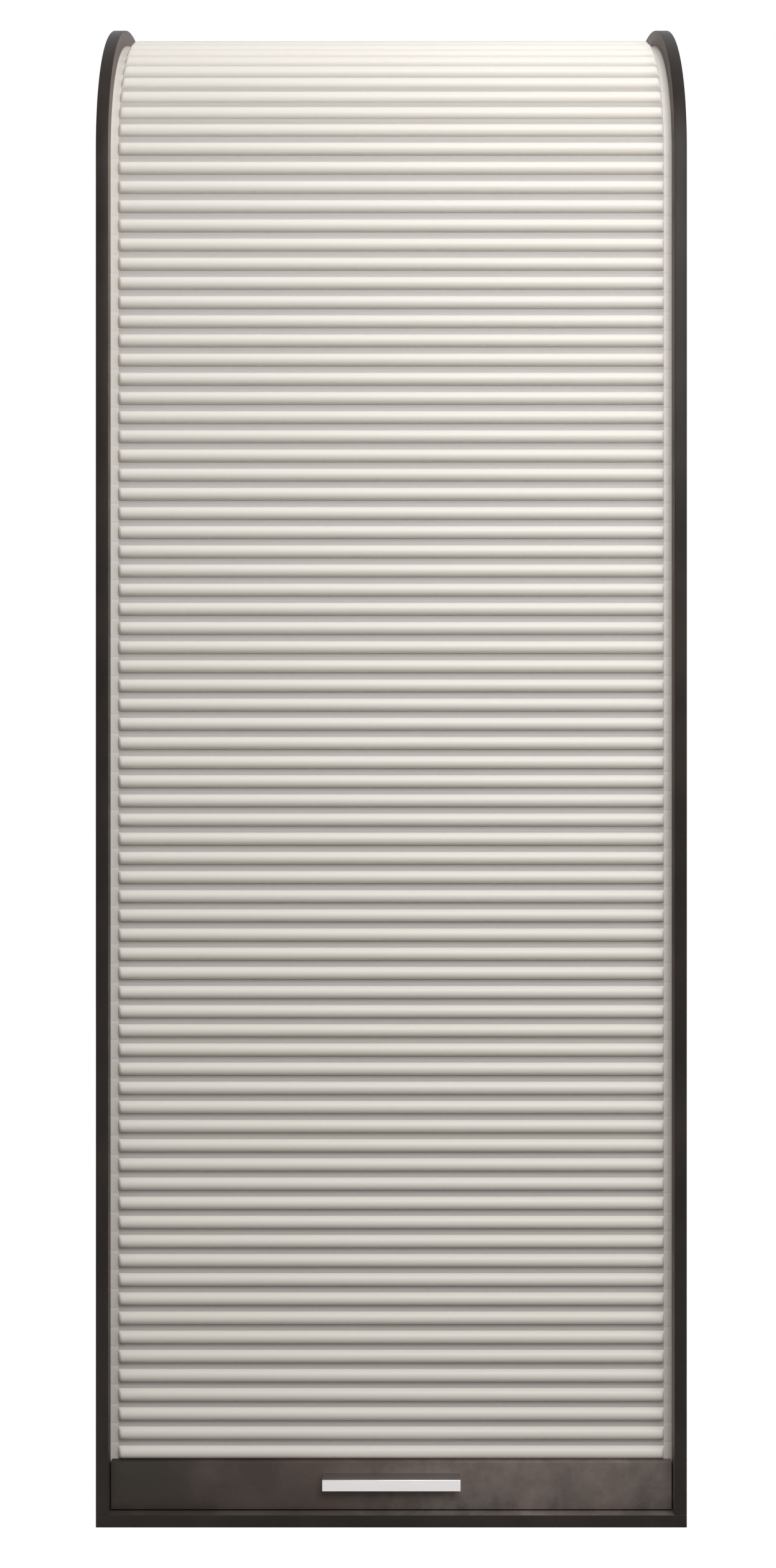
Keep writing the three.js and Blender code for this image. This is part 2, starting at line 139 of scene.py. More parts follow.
class Wire:
    """One output of a shader node, which Python arithmetic extends by Math nodes."""

    def __init__(self, nodes: "Nodes", socket: Socket) -> None:
        """Keeps the socket and the tree that it belongs to."""
        self.nodes = nodes
        self.socket = socket

    def _math(self, operation: str, first: object, second: object) -> "Wire":
        """Adds a Math node on two wires or numbers."""
        node = self.nodes.node("ShaderNodeMath", {"operation": operation}, {0: first, 1: second})
        return self.nodes.wire(node, "Value")

    def __add__(self, other: object) -> "Wire":
        """Adds a number or wire."""
        return self._math("ADD", self, other)

    __radd__ = __add__

    def __sub__(self, other: object) -> "Wire":
        """Takes away a number or wire."""
        return self._math("SUBTRACT", self, other)

    def __rsub__(self, other: object) -> "Wire":
        """Is taken away from a number."""
        return self._math("SUBTRACT", other, self)

    def __mul__(self, other: object) -> "Wire":
        """Multiplies by a number or wire."""
        return self._math("MULTIPLY", self, other)

    __rmul__ = __mul__

    def __or__(self, other: object) -> "Wire":
        """Takes the larger of two masks."""
        return self._math("MAXIMUM", self, other)

    __ror__ = __or__


@dataclass(frozen=True)
class Noise:
    """A layer of fractal noise: features to the metre, octaves, and the fine ones' strength."""

    scale: float
    detail: float = 2.0
    roughness: float = 0.5


class Nodes:
    """A tree of shader nodes under construction."""

    def __init__(self, tree: bpy.types.NodeTree) -> None:
        """Empties the tree and keeps it."""
        tree.nodes.clear()
        self.tree = tree

    def link(self, source: Socket, target: Socket) -> None:
        """Joins two sockets."""
        self.tree.links.new(source, target)

    def node(self, kind: str, settings: dict, inputs: dict) -> bpy.types.Node:
        """Adds a node.

        Args:
            kind: The node's type.
            settings: Its own settings, which are set first. "stops" fills a colour ramp.
            inputs: Values or wires, by the socket's place, identifier or name.

        Returns:
            The node.
        """
        node = self.tree.nodes.new(kind)
        for name, value in settings.items():
            if name == "stops":
                self._fill_ramp(node, value)
            else:
                setattr(node, name, value)
        for key, value in inputs.items():
            socket = self._find(node.inputs, key)
            if isinstance(value, Wire):
                self.link(value.socket, socket)
            elif socket.type == "RGBA" and len(value) == 3:
                socket.default_value = (*value, 1.0)
            else:
                socket.default_value = value
        return node

    @staticmethod
    def _fill_ramp(node: bpy.types.Node, stops: Sequence[tuple[float, Colour]]) -> None:
        """Writes a colour ramp's stops.

        Args:
            node: The ramp.
            stops: Places between 0 and 1, each with its colour.
        """
        elements = node.color_ramp.elements
        while len(elements) < len(stops):
            elements.new(1.0)
        for element, (position, colour) in zip(elements, stops):
            element.position = position
            element.color = (*colour, 1.0)

    @staticmethod
    def _find(sockets: Iterable[Socket], key: Union[int, str]) -> Socket:
        """Finds a socket.

        Args:
            sockets: A node's inputs or outputs.
            key: The socket's place, identifier or name.

        Returns:
            The socket.
        """
        if isinstance(key, int):
            return sockets[key]
        named = (socket for socket in sockets if socket.identifier == key)
        return next(named, None) or sockets[key]

    def wire(self, node: bpy.types.Node, output: str) -> Wire:
        """Gives a node's output as a wire."""
        return Wire(self, self._find(node.outputs, output))

    def showing_rays(self) -> Wire:
        """Gives 1 to rays that show what they hit to the camera, in metal or through glass.

        Returns:
            The mask, which is 0 for rays that only light the object.
        """
        path = self.node("ShaderNodeLightPath", {}, {})
        camera, glossy, through = (
            self.wire(path, f"Is {kind} Ray") for kind in ("Camera", "Glossy", "Transmission")
        )
        return camera | glossy | through


class Shader(Nodes):
    """A node material under construction, with its principled surface."""

    def __init__(
        self,
        name: str,
        roughness: float,
        metallic: float = 0.0,
        gloss: float = 0.5,
        glow: float = 0.0,
    ) -> None:
        """Makes an empty material whose output shows a principled surface.

        Args:
            name: The material's name.
            roughness: The surface's plain roughness.
            metallic: 1 for bare metal, otherwise 0.
            gloss: The specular level, where 0.5 is usual.
            glow: The strength of its emission.
        """
        self.material = bpy.data.materials.new(name)
        self.material.use_nodes = True
        super().__init__(self.material.node_tree)
        constants = {
            "Roughness": roughness,
            "Metallic": metallic,
            "Specular IOR Level": gloss,
            "Emission Strength": glow,
        }
        self.surface = self.node("ShaderNodeBsdfPrincipled", {}, constants)
        self.node("ShaderNodeOutputMaterial", {}, {"Surface": self.wire(self.surface, "BSDF")})

    def place(self, stretch: Triple = (1, 1, 1), shift: Triple = (0, 0, 0)) -> Wire:
        """Gives the object coordinates, stretched along each axis and then shifted.

        Args:
            stretch: What each axis is multiplied by, so that less than 1 draws a pattern out.
            shift: What is added then.

        Returns:
            The coordinates.
        """
        coordinates = self.wire(self.node("ShaderNodeTexCoord", {}, {}), "Object")
        inputs = {"Vector": coordinates, "Scale": stretch, "Location": shift}
        mapping = self.node("ShaderNodeMapping", {"vector_type": "POINT"}, inputs)
        return self.wire(mapping, "Vector")

    def noise(self, place: Wire, layer: Noise) -> Wire:
        """Gives fractal noise between 0 and 1."""
        inputs = {"Scale": layer.scale, "Detail": layer.detail, "Roughness": layer.roughness}
        return self.wire(self.node("ShaderNodeTexNoise", {}, {"Vector": place, **inputs}), "Fac")

    def ramp(self, factor: Wire, stops: Sequence[tuple[float, Colour]]) -> Wire:
        """Turns a factor into a colour."""
        node = self.node("ShaderNodeValToRGB", {"stops": stops}, {"Fac": factor})
        return self.wire(node, "Color")

    def mix(self, factor: Wire, first: object, second: object) -> Wire:
        """Mixes two colours, each a wire or a plain one."""
        inputs = {"Factor_Float": factor, "A_Color": first, "B_Color": second}
        return self.wire(self.node("ShaderNodeMix", {"data_type": "RGBA"}, inputs), "Result_Color")

    def feed(self, socket: str, value: Wire) -> None:
        """Leads a wire to a socket of the surface."""
        self.link(value.socket, self.surface.inputs[socket])

    def bump(self, height: Wire, depth: float, strength: float) -> None:
        """Gives the surface a relief of the given depth."""
        inputs = {"Height": height, "Distance": depth, "Strength": strength}
        self.feed("Normal", self.wire(self.node("ShaderNodeBump", {}, inputs), "Normal"))


@dataclass(frozen=True)
class DecorFinish:
    """Matt melamine board with a mottled concrete decor, darker and lighter by large areas; the
    broadest of them is partly painted reflection, darker at the rail's left and lighter at its
    right.
    """

    dark: Colour = linear(66, 61, 56)
    middle: Colour = linear(95, 88, 83)
    light: Colour = linear(138, 127, 123)
    warm: Colour = linear(103, 89, 85)
    stops: Triple = (0.36, 0.5, 0.64)
    roughness: float = 0.55
    gloss: float = 0.16
    # The broad layer is partly painted reflection: this shift places it so that the rail is darker
    # on the left and lighter on the right, as the light falls there.
    shift: Triple = (3.9, 0.0, 0.67)
    broad: Noise = Noise(1.5, 1.0)
    clouds: Noise = Noise(7.0, 7.0, 0.62)
    patches: Noise = Noise(26.0, 5.0, 0.6)
    tint: Noise = Noise(3.5, 3.0)
    grain: Noise = Noise(420.0, 3.0)
    broad_share: float = 0.5
    cloud_share: float = 0.46
    patch_share: float = 0.24
    grain_share: float = 0.05
    darkening: float = 0.11
    tint_from: float = 0.42
    tint_strength: float = 2.2
    smoothest: float = 0.46
    spread: float = 0.16
    grain_relief: float = 0.6
    depth: float = 0.0002
    relief: float = 0.35

    def build(self) -> Material:
        """Makes the material: broad areas that are partly painted reflection, clouds, smaller
        patches, a warm tint and fine grain.

        Returns:
            The material.
        """
        shader = Shader("concrete_decor", self.roughness, gloss=self.gloss)
        place = shader.place(shift=self.shift)
        broad, clouds, patches, tint, grain = (
            shader.noise(place, layer)
            for layer in (self.broad, self.clouds, self.patches, self.tint, self.grain)
        )
        # The broad noise is partly painted reflection, which lightens the rail from its left to
        # its right.
        factor = broad * self.broad_share + clouds * self.cloud_share
        factor = factor + patches * self.patch_share + grain * self.grain_share - self.darkening
        colour = shader.ramp(factor, list(zip(self.stops, (self.dark, self.middle, self.light))))
        tinted = shader.mix((tint - self.tint_from) * self.tint_strength, colour, self.warm)
        shader.feed("Base Color", tinted)
        shader.feed("Roughness", self.smoothest + patches * self.spread)
        height = grain * self.grain_relief + patches * (1 - self.grain_relief)
        shader.bump(height, self.depth, self.relief)
        return shader.material


@dataclass(frozen=True)
class SlatFinish:
    """Cream white extruded plastic with a satin skin and fine lines along each slat."""

    ground: Colour = linear(246, 242, 236)
    shade: Colour = linear(240, 235, 227)
    roughness: float = 0.4
    gloss: float = 0.25
    broad: Noise = Noise(2.5, 3.0)
    broad_stretch: Triple = (1, 1, 3)
    lines: Noise = Noise(900.0)
    line_stretch: Triple = (0.01, 1, 1)
    skin: Noise = Noise(260.0, 3.0)
    skin_share: float = 0.2
    smoothest: float = 0.34
    line_spread: float = 0.1
    skin_spread: float = 0.06
    skin_relief: float = 0.3
    depth: float = 0.00006
    relief: float = 0.35

    def build(self) -> Material:
        """Makes the material: a barely uneven cream, with draw lines along X.

        Returns:
            The material.
        """
        shader = Shader("slat_plastic", self.roughness, gloss=self.gloss)
        broad = shader.noise(shader.place(self.broad_stretch), self.broad)
        lines = shader.noise(shader.place(self.line_stretch), self.lines)
        skin = shader.noise(shader.place(), self.skin)
        factor = broad * (1 - self.skin_share) + skin * self.skin_share
        shader.feed("Base Color", shader.mix(factor, self.ground, self.shade))
        rough = self.smoothest + lines * self.line_spread + skin * self.skin_spread
        shader.feed("Roughness", rough)
        height = lines * (1 - self.skin_relief) + skin * self.skin_relief
        shader.bump(height, self.depth, self.relief)
        return shader.material


@dataclass(frozen=True)
class GrainedFinish:
    """Two near tones with a fine grain, as on metal, plastic film, edging or fibreboard.

    The window is the part of the pattern that runs from the ground to the shade.
    """

    name: str
    ground: Colour
    shade: Colour
    roughness: float
    grain: Noise
    broad: Noise
    depth: float
    relief: float = 0.5
    grain_share: float = 0.5
    spread: float = 0.1
    stretch: Triple = (1, 1, 1)
    window: Point = (0.0, 1.0)
    metallic: float = 0.0
    gloss: float = 0.5

    def build(self) -> Material:
        """Makes the material: a grain in colour, roughness and relief on broader clouds.

        Returns:
            The material.
        """
        shader = Shader(self.name, self.roughness, self.metallic, self.gloss)
        grain = shader.noise(shader.place(self.stretch), self.grain)
        broad = shader.noise(shader.place(), self.broad)
        pattern = broad * (1 - self.grain_share) + grain * self.grain_share
        start, end = self.window
        factor = (pattern - start) * (1 / (end - start))
        shader.feed("Base Color", shader.mix(factor, self.ground, self.shade))
        shader.feed("Roughness", (self.roughness - self.spread / 2) + grain * self.spread)
        shader.bump(grain, self.depth, self.relief)
        return shader.material


def moulded(
    name: str, ground: Colour, shade: Colour, roughness: float, scale: float, depth: float
) -> GrainedFinish:
    """Gives a moulded finish, whose clouds are CLOUD_RATIO times as large as its grain."""
    grain, clouds = Noise(scale, 4.0, 0.6), Noise(scale / CLOUD_RATIO)
    return GrainedFinish(name, ground, shade, roughness, grain, clouds, depth)


def make_finishes() -> dict[Slot, list[Material]]:
    """Makes every material of the cabinet once.

    Returns:
        The materials of each slot, in the order of its pieces' face numbers.
    """
    film = {
        "roughness": 0.56,
        "grain": Noise(700.0, 3.0),
        "broad": Noise(5.0),
        "depth": 0.00005,
        "relief": 0.4,
        "grain_share": 0.4,
        "spread": 0.12,
        "stretch": (0.05, 1, 1),
        "gloss": 0.35,
    }
    metal = {
        "grain": Noise(1600.0, 3.0, 0.6),
        "broad": Noise(40.0),
        "depth": 0.00004,
        "relief": 0.3,
        "grain_share": 0.7,
        "spread": 0.12,
        "metallic": 1.0,
    }
    edge = GrainedFinish(
        "edge_band", linear(37, 32, 29), linear(53, 47, 43), roughness=0.42,
        grain=Noise(900.0), broad=Noise(11.0, 3.0), depth=0.00008, relief=0.4,
        grain_share=0.3, spread=0.12, window=(0.35, 0.65), gloss=0.12,
    )
    # The web between the ribs and the end strips beside the rib ends are one film: the web's
    # darker colour is painted shade from the ribs above, and the ends' lighter colour is the lit
    # copy.
    web = GrainedFinish("slat_web", linear(194, 190, 188), linear(185, 181, 179), **film)
    end = GrainedFinish("slat_end", linear(228, 223, 217), linear(219, 214, 208), **film)
    aluminium = GrainedFinish(
        "satin_aluminium", linear(199, 196, 197), linear(186, 183, 184), roughness=0.36,
        stretch=(0.02, 1, 1), **metal,
    )
    steel = GrainedFinish(
        "zinc_steel", linear(190, 190, 188), linear(160, 161, 160), roughness=0.3, **metal
    )
    track = moulded(
        "track_plastic", linear(206, 202, 195), linear(194, 190, 182),
        roughness=0.45, scale=500.0, depth=0.00005,
    )
    hardboard = moulded(
        "hardboard", linear(88, 82, 78), linear(74, 69, 66),
        roughness=0.7, scale=700.0, depth=0.00015,
    )
    nylon = moulded(
        "nylon", linear(232, 230, 224), linear(222, 219, 212),
        roughness=0.4, scale=600.0, depth=0.00004,
    )
    rubber = moulded(
        "rubber", linear(38, 38, 38), linear(30, 30, 30),
        roughness=0.8, scale=800.0, depth=0.0001,
    )
    finishes = {
        Slot.BOARD: [DecorFinish(), edge],
        Slot.SLAT: [SlatFinish(), web, end],
        Slot.TRACK: [track],
        Slot.ALUMINIUM: [aluminium],
        Slot.STEEL: [steel],
        Slot.HARDBOARD: [hardboard],
        Slot.NYLON: [nylon],
        Slot.RUBBER: [rubber],
    }
    return {slot: [finish.build() for finish in kinds] for slot, kinds in finishes.items()}


def set_down(name: str, mesh: Mesh) -> bpy.types.Object:
    """Writes a bmesh to a new object in the scene.

    Args:
        name: The object's name.
        mesh: The shape, which is freed.

    Returns:
        The object, at the origin.
    """
    data = bpy.data.meshes.new(name)
    mesh.to_mesh(data)
    mesh.free()
    thing = bpy.data.objects.new(name, data)
    bpy.context.scene.collection.objects.link(thing)
    return thing


class Workshop:
    """Turns finished bmeshes into pieces of the cabinet."""

    def __init__(self, record: dict, finishes: dict[Slot, list[Material]]) -> None:
        """Keeps the finishes and notes which body each node rides on.

        Args:
            record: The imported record.
            finishes: The materials of each slot.
        """
        self.finishes = finishes
        self.body_of = {
            node: body for body, nodes in record["behaviour"]["bodies"].items() for node in nodes
        }
        self.made = 0

    def finish(
        self, mesh: Mesh, node: str, slot: Slot, smooth_degrees: float = SMOOTH_DEGREES
    ) -> None:
        """Writes a bmesh to a new piece that stands for a node.

        Args:
            mesh: The shape, which is freed.
            node: The node that the piece replaces and whose body it rides on.
            slot: The slot that its materials come from.
            smooth_degrees: Edges flatter than this are shaded smooth.
        """
        piece = set_down(f"{node}_fine", mesh)
        piece.data.shade_smooth()
        piece.data.set_sharp_from_angle(angle=math.radians(smooth_degrees))
        for material in self.finishes[slot]:
            piece.data.materials.append(material)
        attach(piece, self.body_of[node])
        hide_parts(node)
        self.made += 1
        LOG.info("%s: %d faces", piece.name, len(piece.data.polygons))

    def dress(self, node: str, slot: Slot) -> None:
        """Gives a node that keeps its own mesh a slot's material.

        Args:
            node: The node.
            slot: The slot.
        """
        piece = frame["nodes"][node]
        piece.data.materials.clear()
        piece.data.materials.append(self.finishes[slot][0])
        LOG.info("%s: own solid, new material", node)


def shelf_pins() -> list[str]:
    """Gives the names of the shelf pins' nodes."""
    return sorted(node for node in frame["nodes"] if "_pin_" in node)


def block(low: Vector, high: Vector) -> Mesh:
    """Makes a box.

    Args:
        low: Its lowest corner.
        high: Its highest corner.

    Returns:
        The closed box.
    """
    mesh = bmesh.new()
    bmesh.ops.create_cube(mesh, size=1.0)
    bmesh.ops.scale(mesh, vec=high - low, verts=mesh.verts)
    bmesh.ops.translate(mesh, vec=(low + high) / 2, verts=mesh.verts)
    return mesh


def round_edges(
    mesh: Mesh, wanted: Callable[[Edge], bool], radius: float, segments: int = EDGE_SEGMENTS
) -> None:
    """Rounds some edges of a shape.

    Args:
        mesh: The shape.
        wanted: Says whether an edge is rounded.
        radius: The radius.
        segments: The number of faces across the round.
    """
    bmesh.ops.bevel(
        mesh,
        geom=[edge for edge in mesh.edges if wanted(edge)],
        offset=radius, offset_type="OFFSET", segments=segments, profile=0.5,
        affect="EDGES", material=-1, clamp_overlap=True,
    )


def corner_plate(node: str, through: Axis, corner: float, rounding: float, segments: int) -> Mesh:
    """Makes a plate with rounded corners in a node's box.

    Args:
        node: The node.
        through: The axis that the corners run along.
        corner: The corners' radius.
        rounding: The radius of the other edges.
        segments: The number of faces across those.

    Returns:
        The closed plate.
    """
    mesh = block(*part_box(node))
    round_edges(mesh, lambda edge: runs_along(edge, through), corner, CORNER_SEGMENTS)
    round_edges(mesh, is_sharp, rounding, segments)
    return mesh


def is_sharp(edge: Edge) -> bool:
    """Says whether two faces meet sharply at an edge."""
    return len(edge.link_faces) == 2 and edge.calc_face_angle(0.0) > math.radians(SHARP_DEGREES)


def runs_along(edge: Edge, axis: Axis) -> bool:
    """Says whether an edge runs along an axis."""
    way = (edge.verts[1].co - edge.verts[0].co).normalized()
    return abs(way[axis.value]) > ALONG


def crosses_at(edge: Edge, y: float, z: float, reach: float) -> bool:
    """Says whether an edge runs across the cabinet within a short reach of a place."""
    start = edge.verts[0].co
    return runs_along(edge, Axis.X) and max(abs(start.y - y), abs(start.z - z)) < reach


def band_the_edges(mesh: Mesh, broad: Axis) -> None:
    """Gives a board's faces the decor or the edge band.

    Args:
        mesh: The board.
        broad: The axis that its two decor faces look along.
    """
    for face in mesh.faces:
        face.normal_update()
        looks_broad = abs(face.normal[broad.value]) > BROAD
        face.material_index = (BoardFace.DECOR if looks_broad else BoardFace.BAND).value


def swept(mesh: Mesh, corners: Sequence[Vector], step: Vector) -> Mesh:
    """Adds a prism to a shape.

    Args:
        mesh: The shape.
        corners: The corners of the prism's first end, in order.
        step: The way from there to its other end.

    Returns:
        The same shape, with all its faces outwards.
    """
    face = mesh.faces.new([mesh.verts.new(corner) for corner in corners])
    made = bmesh.ops.extrude_face_region(mesh, geom=[face])["geom"]
    moved = [item for item in made if isinstance(item, Vert)]
    bmesh.ops.translate(mesh, vec=step, verts=moved)
    bmesh.ops.recalc_face_normals(mesh, faces=mesh.faces)
    return mesh


def turned(profile: Sequence[Point], centre: Vector, axis: Vector, steps: int) -> Mesh:
    """Turns a profile into a round piece.

    Args:
        profile: Points as radius and place along the axis, from the axis and back to it.
        centre: The axis's zero point.
        axis: The axis's direction.
        steps: The number of steps round it.

    Returns:
        The closed round piece.
    """
    mesh = bmesh.new()
    turn = Vector((0, 0, 1)).rotation_difference(axis).to_matrix().to_4x4()
    verts = [mesh.verts.new((radius, 0.0, along)) for radius, along in profile]
    edges = [mesh.edges.new(pair) for pair in zip(verts, verts[1:])]
    bmesh.ops.spin(
        mesh, geom=verts + edges, steps=steps, angle=2 * math.pi,
        cent=(0, 0, 0), axis=(0, 0, 1), use_merge=True,
    )
    bmesh.ops.remove_doubles(mesh, verts=mesh.verts, dist=MERGE_DISTANCE)
    bmesh.ops.transform(mesh, matrix=Matrix.Translation(centre) @ turn, verts=mesh.verts)
    bmesh.ops.recalc_face_normals(mesh, faces=mesh.faces)
    return mesh


def carve(mesh: Mesh, cutter: Mesh) -> Mesh:
    """Cuts one closed shape out of another.

    Args:
        mesh: The shape that is cut, which is freed.
        cutter: What is cut from it, which is freed.

    Returns:
        What is left.
    """
    body, tool = set_down("carved", mesh), set_down("cutter", cutter)
    cut = body.modifiers.new("cut", "BOOLEAN")
    cut.operation = "DIFFERENCE"
    cut.solver = "EXACT"
    cut.object = tool
    bpy.context.view_layer.update()
    evaluated = body.evaluated_get(bpy.context.evaluated_depsgraph_get())
    result = bmesh.new()
    result.from_mesh(evaluated.to_mesh())
    evaluated.to_mesh_clear()
    for thing in (body, tool):
        data = thing.data
        bpy.data.objects.remove(thing)
        bpy.data.meshes.remove(data)
    return result


@dataclass(frozen=True)
class CurtainPath:
    """The line that the curtain's web follows: up the front, over the top, down the back."""

    depth: float = 0.440
    height: float = 2.022
    front_radius: float = 0.242
    rear_radius: float = 0.090
    inset: float = 0.02175
    foot: float = 0.080
    front_steps: int = 48
    rear_steps: int = 24

    @property
    def front_run(self) -> float:
        """The length of the straight front."""
        return self.height - self.front_radius - self.foot

    @property
    def front_end(self) -> float:
        """Where the large curve ends."""
        return self.front_run + (self.front_radius - self.inset) * math.pi / 2

    @property
    def top_end(self) -> float:
        """Where the flat top ends."""
        return self.front_end + self.depth - self.front_radius - self.rear_radius

    @property
    def rear_end(self) -> float:
        """Where the small curve ends."""
        return self.top_end + (self.rear_radius - self.inset) * math.pi / 2

    def point(self, along: float, proud: float) -> Point:
        """Gives a place on the path.

        Args:
            along: The distance along the path from its foot.
            proud: How far outside the path the place lies.

        Returns:
            Its y and z.
        """
        front = -self.depth / 2
        if along <= self.front_run:
            return front + self.inset - proud, self.foot + along
        if along <= self.front_end:
            turn = (along - self.front_run) / (self.front_radius - self.inset)
            return self._on_curve(front + self.front_radius, self.front_radius, turn, proud)
        if along <= self.top_end:
            y = front + self.front_radius + along - self.front_end
            return y, self.height - self.inset + proud
        if along <= self.rear_end:
            turn = math.pi / 2 + (along - self.top_end) / (self.rear_radius - self.inset)
            return self._on_curve(-front - self.rear_radius, self.rear_radius, turn, proud)
        down = along - self.rear_end
        return -front - self.inset + proud, self.height - self.rear_radius - down

    def _on_curve(self, y: float, radius: float, turn: float, proud: float) -> Point:
        """Gives a place on the curve round a depth, by its turn from the front upwards."""
        reach = radius - self.inset + proud
        return y - reach * math.cos(turn), self.height - radius + reach * math.sin(turn)

    def stations(self, start: float, end: float) -> list[float]:
        """Gives the distances that a smooth band along the path needs.

        Args:
            start: Where the band starts, on the straight front.
            end: Where it ends, on the straight back.

        Returns:
            The distances, in order.
        """
        stations = [start]
        for low, high, steps in (
            (self.front_run, self.front_end, self.front_steps),
            (self.top_end, self.rear_end, self.rear_steps),
        ):
            stations += [low + (high - low) * step / steps for step in range(steps + 1)]
        return stations + [end]


@dataclass
class Curtain:
    """The ribbed curtain: strips of slats, each with a half-round rib on the flat web."""

    workshop: Workshop
    path: CurtainPath
    pitch: float = 0.025
    web: float = 0.0025
    rib_width: float = 0.016
    rib_proud: float = 0.0075
    rib_foot: float = 0.0005
    rib_end_gap: float = 0.010
    rib_end: float = 0.006
    hinge_place: float = 0.02075
    hinge_width: float = 0.0012
    hinge_depth: float = 0.0002
    web_in_track: float = 0.006
    hem: float = 0.008
    gap: float = 0.00006
    slats: int = 4
    step_back: float = 0.00003
    rib_steps: int = 14
    end_steps: int = 6
    smooth_degrees: float = 38.0

    def build(self) -> None:
        """Makes every strip, the moving ones a step apart in depth, so that none is in another."""
        inner_half = -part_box("side_panel_left")[1].x
        nodes = sorted(node for node in frame["nodes"] if node.startswith("slat_group_"))
        moving = [node for node in nodes if self.workshop.body_of[node] != "carcass"]
        for order, node in enumerate(nodes):
            base = order * self.slats * self.pitch
            start = -self.hem if order == 0 else base + self.gap / 2
            end = base + self.slats * self.pitch - self.gap / 2
            steps_back = max(len(moving) - order, 0) if node in moving else 0
            mesh = self._strip(start, end, base, inner_half, self.step_back * steps_back)
            self.workshop.finish(mesh, node, Slot.SLAT, self.smooth_degrees)

    def _face_line(self, start: float, end: float, base: float) -> list[Point]:
        """Gives a strip's outer line, with its ribs and film hinges.

        Args:
            start: Where the strip starts on the path.
            end: Where it ends.
            base: Where its first slat starts.

        Returns:
            Distances along the path, each with the height over the web there.
        """
        line = [(start, 0.0)]
        half = self.hinge_width / 2
        for slat in range(self.slats):
            foot = base + slat * self.pitch + self.rib_foot
            for step in range(self.rib_steps + 1):
                turn = math.pi * step / self.rib_steps
                along = foot + self.rib_width / 2 * (1 - math.cos(turn))
                line.append((along, self.rib_proud * math.sin(turn)))
            hinge = base + slat * self.pitch + self.hinge_place
            line += [(hinge - half, 0.0), (hinge, -self.hinge_depth), (hinge + half, 0.0)]
        line.append((end, 0.0))
        return line

    def _stations(self, inner_half: float) -> list[Point]:
        """Gives the places across the curtain where its section changes.

        Args:
            inner_half: Half the width between the side panels.

        Returns:
            The places' x, each with the share of the rib's height there.
        """
        web_half = inner_half + self.web_in_track
        rib_half = inner_half - self.rib_end_gap
        half = [(web_half, 0.0)]
        for step in range(self.end_steps + 1):
            turn = math.pi / 2 * step / self.end_steps
            half.append((rib_half - self.rib_end * (1 - math.cos(turn)), math.sin(turn)))
        return [(-x, share) for x, share in half] + half[::-1]

    def _strip(
        self, start: float, end: float, base: float, inner_half: float, inset: float
    ) -> Mesh:
        """Makes one strip by extruding its section across the cabinet.

        Args:
            start: Where the strip starts on the path.
            end: Where it ends.
            base: Where its first slat starts.
            inner_half: Half the width between the side panels.
            inset: How far the strip lies behind the path.

        Returns:
            The closed strip.
        """
        face_line = self._face_line(start, end, base)
        ring = [(along, self.web / 2, proud) for along, proud in face_line]
        ring += [(along, -self.web / 2, 0.0) for along, _ in reversed(face_line)]
        mesh = bmesh.new()
        place = mesh.verts.layers.int.new("place")
        raised = mesh.verts.layers.int.new("raised")

        def lay(verts: Iterable[Vert], x: float, share: float) -> None:
            """Lays a ring of vertices at one place across the cabinet.

            Args:
                verts: The vertices, which know their places in the ring.
                x: The place.
                share: The share of the rib's height there.
            """
            for vert in verts:
                along, side, proud = ring[vert[place]]
                lift = proud * share if proud > 0 else proud
                vert[raised] = int(lift > self.step_back)
                vert.co = (x, *self.path.point(along, side + lift - inset))

        verts = [mesh.verts.new((0, 0, 0)) for _ in ring]
        for number, vert in enumerate(verts):
            vert[place] = number
        edges = [mesh.edges.new((a, b)) for a, b in zip(verts, verts[1:] + verts[:1])]
        stations = self._stations(inner_half)
        lay(verts, *stations[0])
        bmesh.ops.edgeloop_fill(mesh, edges=edges)
        for x, share in stations[1:]:
            made = bmesh.ops.extrude_edge_only(mesh, edges=edges)["geom"]
            edges = [item for item in made if isinstance(item, Edge)]
            lay([item for item in made if isinstance(item, Vert)], x, share)
        bmesh.ops.edgeloop_fill(mesh, edges=edges)
        bmesh.ops.recalc_face_normals(mesh, faces=mesh.faces)
        rib_half = inner_half - self.rib_end_gap
        # The flat film between the ribs takes the darker copy of its colour, painted shade from
        # the ribs above; beside the rib ends it takes the lighter, lit copy.
        for face in mesh.faces:
            flat = StripFace.END if abs(face.calc_center_median().x) > rib_half else StripFace.WEB
            on_rib = any(vert[raised] for vert in face.verts)
            face.material_index = (StripFace.RIB if on_rib else flat).value
        return mesh


